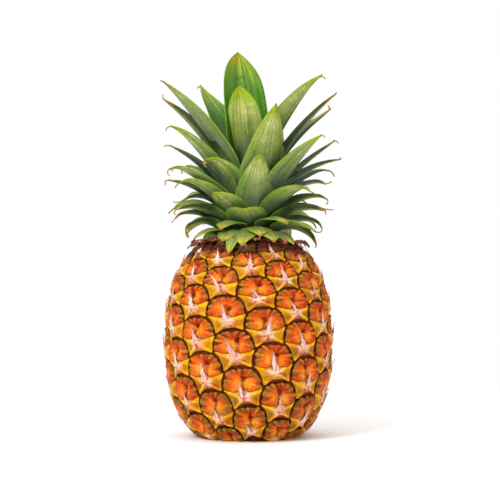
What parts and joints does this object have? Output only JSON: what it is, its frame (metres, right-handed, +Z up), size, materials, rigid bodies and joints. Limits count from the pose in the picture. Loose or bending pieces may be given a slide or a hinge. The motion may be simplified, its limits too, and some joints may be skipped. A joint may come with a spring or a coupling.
{
  "type": "pineapple",
  "caption": "Ripe whole pineapple standing on its base: barrel of spiral eyes with dry-tipped bracts, and a tall crown of arching grey-green leaves",
  "frame": {"origin": "centre of the flat base it rests on, on the fruit's axis, on the cut face of the stalk", "axes": "+Z up along the fruit's axis to the crown, -Y towards the front, +X to the right seen from the front"},
  "size_m": [0.1298, 0.1244, 0.282],
  "materials": {
    "fruit_skin": "waxy orange and yellow eyes with maroon creases, satin",
    "stalk_wood": "dry cut fibrous stalk, matte",
    "dry_bract": "dry papery reddish brown, matte",
    "leaf": "grey-green waxy bloom outside, deep green inside, yellow-green edges and brown tips"
  },
  "bodies": {
    "root": {"fruit": "fruit_skin", "stalk_stub": "stalk_wood", "collar_bracts": "dry_bract", "crown": "leaf"}
  },
  "joints": []
}
